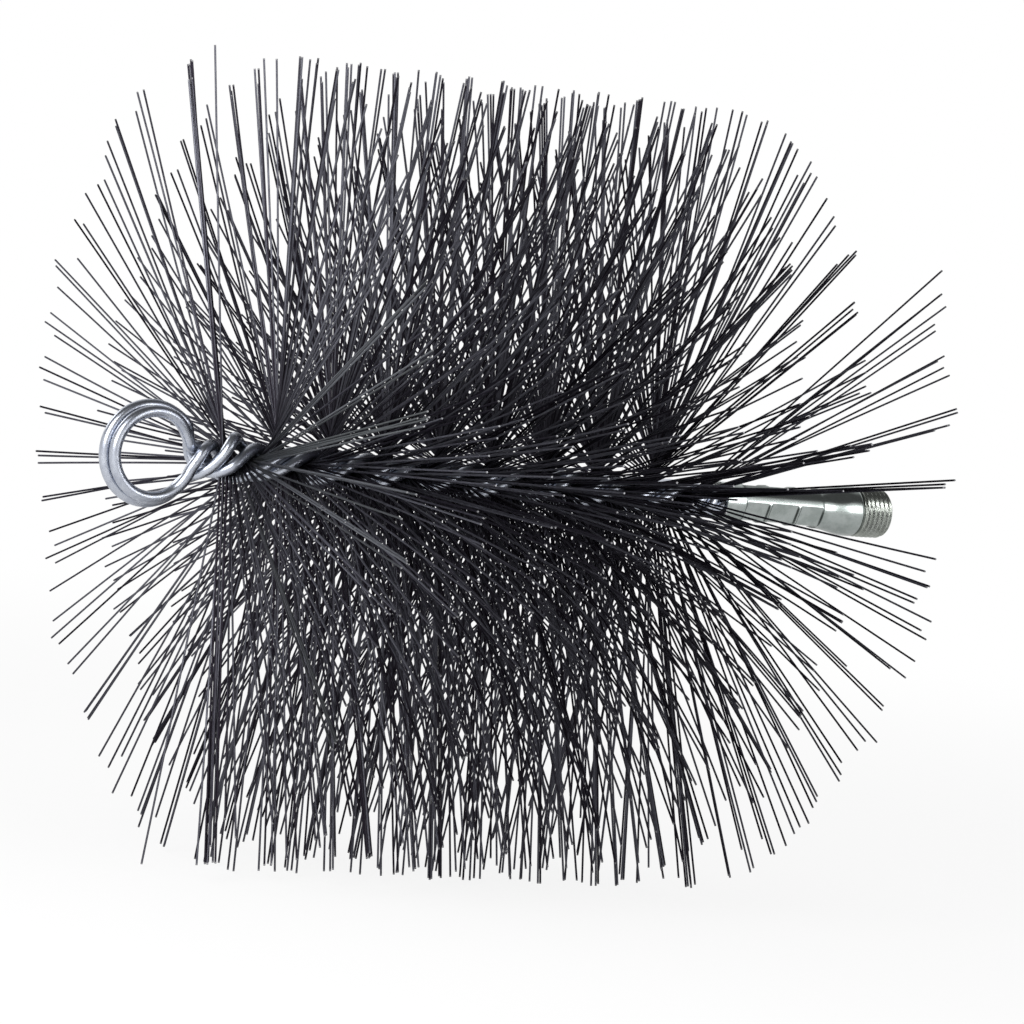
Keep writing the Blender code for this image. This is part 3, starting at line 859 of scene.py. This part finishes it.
def ferrule_rings(angles):
    """Rings of the ferrule's closed skin: the lip at the stem, the outside, and back by the bore.

    Each has its place along the ferrule and, for each angle, its radius, its wear or painted shade, and
    its thread.
    """
    plain = np.linspace(LIP_RADIUS, THREAD_START, round(THREAD_START / FERRULE_STEP))
    cut = np.linspace(THREAD_START, FERRULE_LENGTH, round(THREAD_LENGTH / THREAD_STEP) + 1)[1:]
    places = np.concatenate((plain, cut))
    surface = ferrule_surface(places, angles, np.random.default_rng(FERRULE_SEED))
    bare = np.zeros(FERRULE_COLUMNS)
    full = np.ones(FERRULE_COLUMNS)
    lip = []
    for share in LIP_TURN_SHARES:
        turn = QUARTER * share
        radius = COLLAR_RADIUS - LIP_RADIUS * (1 - math.cos(turn))
        lip.append((LIP_RADIUS * (1 - math.sin(turn)), full * radius, full * LIP_WEAR, bare))
    bore = [(FERRULE_LENGTH, full * (PIPE_BORE + LIP_RADIUS), full * MOUTH_WEAR, bare),
            (FERRULE_LENGTH - LIP_RADIUS, full * PIPE_BORE, bare, bare),
            (LAND_START, full * PIPE_BORE, bare, bare),
            (CRIMP_LENGTH, full * SEAT_BORE, bare, bare),
            (LIP_RADIUS / 2, full * SEAT_BORE, bare, bare),
            (0, full * (SEAT_BORE + LIP_RADIUS / 2), full * BORE_WEAR, bare)]
    return lip + list(zip(places, *surface)) + bore


def ferrule(name, finish, node):
    """Ferrule as one closed skin of quads between its rings."""
    angles = np.arange(FERRULE_COLUMNS) * TURN / FERRULE_COLUMNS
    rings = ferrule_rings(angles)
    count = len(rings)
    corners = np.empty((count, FERRULE_COLUMNS, 3))
    for row, (place, radius, _, _) in enumerate(rings):
        corners[row, :, 0] = FERRULE_START + place
        corners[row, :, 1] = radius * np.cos(angles)
        corners[row, :, 2] = radius * np.sin(angles)
    corners += NECK
    index = np.arange(count * FERRULE_COLUMNS).reshape(count, FERRULE_COLUMNS)
    after = np.roll(index, -1, axis=1)
    below = np.roll(index, -1, axis=0)
    after_below = np.roll(after, -1, axis=0)
    faces = np.stack((index, after, after_below, below), axis=-1).reshape(-1, 4)
    mesh = bpy.data.meshes.new(name)
    mesh.from_pydata(corners.reshape(-1, 3).tolist(), [], faces.tolist())
    mesh.shade_smooth()
    mesh.set_sharp_from_angle(angle=FERRULE_SHARP_ANGLE)
    set_values(mesh, "edge", np.stack([wear_and_shade for _, _, wear_and_shade, _ in rings])[..., None])
    set_values(mesh, "thread", np.stack([thread for _, _, _, thread in rings])[..., None])
    return new_piece(name, mesh, finish, [node])


# The brush

stem_finish = wire_zinc()
stem_wire("outer_wire", RING_RADIUS, OUTER_FILLET, -1, (OUTER_UPPER, OUTER_LOWER),
          stem_finish, "stem_wire_outer")
stem_wire("inner_wire", RING_RADIUS - RING_STEP, INNER_FILLET, 1, (INNER_UPPER, INNER_LOWER),
          stem_finish, "stem_wire_inner")

bristle_finish = bristle_steel()
bristle_chance = np.random.default_rng(BRISTLE_SEED)
first_turn = turns_to(PACK_START)
tuft_turn = (turns_to(PACK_END) - first_turn) / TUFTS
for tuft in range(TUFTS):
    bristle_fan(
        f"bristle_fan_{tuft + 1:02d}",
        place_at(first_turn + tuft_turn * tuft), place_at(first_turn + tuft_turn * (tuft + 1)),
        WIRES_A_FIRST_TUFT if tuft < FIRST_TUFTS else WIRES_A_TUFT,
        bristle_chance, bristle_finish, f"bristle_tuft_{tuft + 1:02d}")

ferrule("crimped_ferrule", ferrule_zinc(), "threaded_ferrule")


# Floor, light and camera

FLOOR_HALF = 12.0
FLOOR_GREY = 0.92
FLOOR_FADE = (0.30, 0.9)        # from the brush's middle, where the floor turns plain white
FLOOR_SHADOW_SHARE = 0.86
MIRRORED_FLOOR_SHARE = 0.12     # near the brush its metal mirrors the real, darker floor
BEHIND = (0.510, 0.858, 0.0)    # the way that the photograph's camera looks
WINDOW = (-0.95, -0.28, 0.14)   # a bright wall to the left
PANEL = (0.49, -0.85, 0.20)     # and a low bright panel in front, to the right
BEHIND_EDGE = (0.10, 0.85)      # cosines of the angles from these ways where the light starts
WINDOW_EDGE = (0.72, 0.93)      # and is full
PANEL_EDGE = (0.86, 0.95)
DIFFUSE_LIGHT = 0.5
ROOM_LIGHT = 0.09               # what metal mirrors from the dark ceiling in front
WALL_LIGHT = 0.75               # and from the walls under it
CEILING_EDGE = (0.48, 0.22)     # sines of the heights where the walls start and are full
LAMPS = (                       # name, place, width of its square, and power
    ("key_lamp", (-0.64, -0.38, 0.44), 0.45, 4.6),
    ("side_lamp", (0.66, -1.12, 0.38), 0.6, 4.4),
    ("back_lamp", (-0.55, 0.95, 0.75), 0.5, 2.5),
)


def seen_share(finish):
    """1 for rays from the camera."""
    return finish.node("ShaderNodeLightPath", {}, {}, "Is Camera Ray")


def mirrored_share(finish):
    """1 for rays that are reflected or go through glass."""
    rays = [finish.node("ShaderNodeLightPath", {}, {}, name)
            for name in ("Is Glossy Ray", "Is Transmission Ray")]
    return finish.maths("MINIMUM", rays[0] + rays[1], 1)


def floor():
    """Pale floor that keeps the brush's shadow near it and fades to the plain backdrop."""
    corners = [(x * FLOOR_HALF, y * FLOOR_HALF, 0) for x, y in ((-1, -1), (1, -1), (1, 1), (-1, 1))]
    mesh = bpy.data.meshes.new("floor")
    mesh.from_pydata(corners, [], [(0, 1, 2, 3)])
    piece = bpy.data.objects.new("floor", mesh)
    bpy.context.scene.collection.objects.link(piece)
    finish = new_finish("pale_floor")
    place = finish.node("ShaderNodeTexCoord", {}, {}, "Object")
    away = finish.node("ShaderNodeVectorMath", {"operation": "LENGTH"}, {0: place}, 1)
    far = finish.between(away, *FLOOR_FADE)
    plain = finish.node("ShaderNodeBsdfDiffuse", {}, {"Color": (FLOOR_GREY, FLOOR_GREY, FLOOR_GREY, 1)})
    bright = finish.node("ShaderNodeEmission", {}, {"Color": (1, 1, 1, 1), "Strength": 1.0})
    seen = seen_share(finish) * (FLOOR_SHADOW_SHARE + far * (1 - FLOOR_SHADOW_SHARE))
    mirrored = mirrored_share(finish) * (MIRRORED_FLOOR_SHARE + far * (1 - MIRRORED_FLOOR_SHARE))
    share = finish.maths("MINIMUM", seen + mirrored, 1)
    both = finish.node("ShaderNodeMixShader", {}, {0: share, 1: plain, 2: bright})
    finish.node("ShaderNodeOutputMaterial", {}, {"Surface": both})
    mesh.materials.append(finish.owner)


def soft_world():
    """Even light and a white backdrop, with a dimmer room in front of it for metal to mirror."""
    world = bpy.data.worlds.new("studio")
    bpy.context.scene.world = world
    finish = Finish(world)
    way = finish.node("ShaderNodeTexCoord", {}, {}, "Generated")
    behind, left, right = (
        finish.node("ShaderNodeVectorMath", {"operation": "DOT_PRODUCT"}, {0: way, 1: aim}, 1)
        for aim in (BEHIND, WINDOW, PANEL))
    bright = finish.between(behind, *BEHIND_EDGE) + finish.between(left, *WINDOW_EDGE)
    bright = finish.maths("MINIMUM", bright + finish.between(right, *PANEL_EDGE), 1)
    rise = finish.node("ShaderNodeSeparateXYZ", {}, {0: way}, 2)
    wall = finish.between(rise, *CEILING_EDGE) * WALL_LIGHT
    room = finish.maths("MAXIMUM", ROOM_LIGHT + wall, bright)
    mirrored = mirrored_share(finish)
    seen = seen_share(finish)
    unseen = DIFFUSE_LIGHT * (1 - mirrored) + room * mirrored
    strength = seen + unseen * (1 - seen)
    light = finish.node("ShaderNodeBackground", {}, {"Color": (1, 1, 1, 1), "Strength": strength})
    finish.node("ShaderNodeOutputWorld", {}, {"Surface": light})


def soft_lamp(name, at, size, power):
    """Square soft lamp aimed at the middle of the brush."""
    lamp = bpy.data.lights.new(name, "AREA")
    lamp.shape = "SQUARE"
    lamp.size = size
    lamp.energy = power
    made = bpy.data.objects.new(name, lamp)
    bpy.context.scene.collection.objects.link(made)
    away = unit(np.array(at) - (0, 0, AXIS_HEIGHT))
    side = unit(np.cross((0, 0, 1), away))
    turned = np.stack((side, np.cross(away, side), away), axis=1)
    made.matrix_world = Matrix.Translation(at) @ Matrix(turned.tolist()).to_4x4()


def photo_camera():
    """Camera at the photograph's angle, a little rolled."""
    camera = bpy.data.cameras.new("camera")
    camera.lens = CAMERA_LENS
    camera.sensor_width = CAMERA_SENSOR
    camera.clip_end = CAMERA_REACH
    made = bpy.data.objects.new("camera", camera)
    bpy.context.scene.collection.objects.link(made)
    back = np.array((math.sin(CAMERA_AZIMUTH) * math.cos(CAMERA_ELEVATION),
                     -math.cos(CAMERA_AZIMUTH) * math.cos(CAMERA_ELEVATION),
                     math.sin(CAMERA_ELEVATION)))
    level = np.array((math.cos(CAMERA_AZIMUTH), math.sin(CAMERA_AZIMUTH), 0))
    upright = np.cross(back, level)
    right = level * math.cos(CAMERA_ROLL) + upright * math.sin(CAMERA_ROLL)
    up = upright * math.cos(CAMERA_ROLL) - level * math.sin(CAMERA_ROLL)
    turned = np.stack((right, up, back), axis=1)
    at = NECK + (AIM_PLACE, 0, -AIM_DROP) + back * CAMERA_DISTANCE
    made.matrix_world = Matrix.Translation(at) @ Matrix(turned.tolist()).to_4x4()
    bpy.context.scene.camera = made


floor()
soft_world()
for lamp_values in LAMPS:
    soft_lamp(*lamp_values)
photo_camera()
bpy.context.scene.view_settings.view_transform = "Standard"
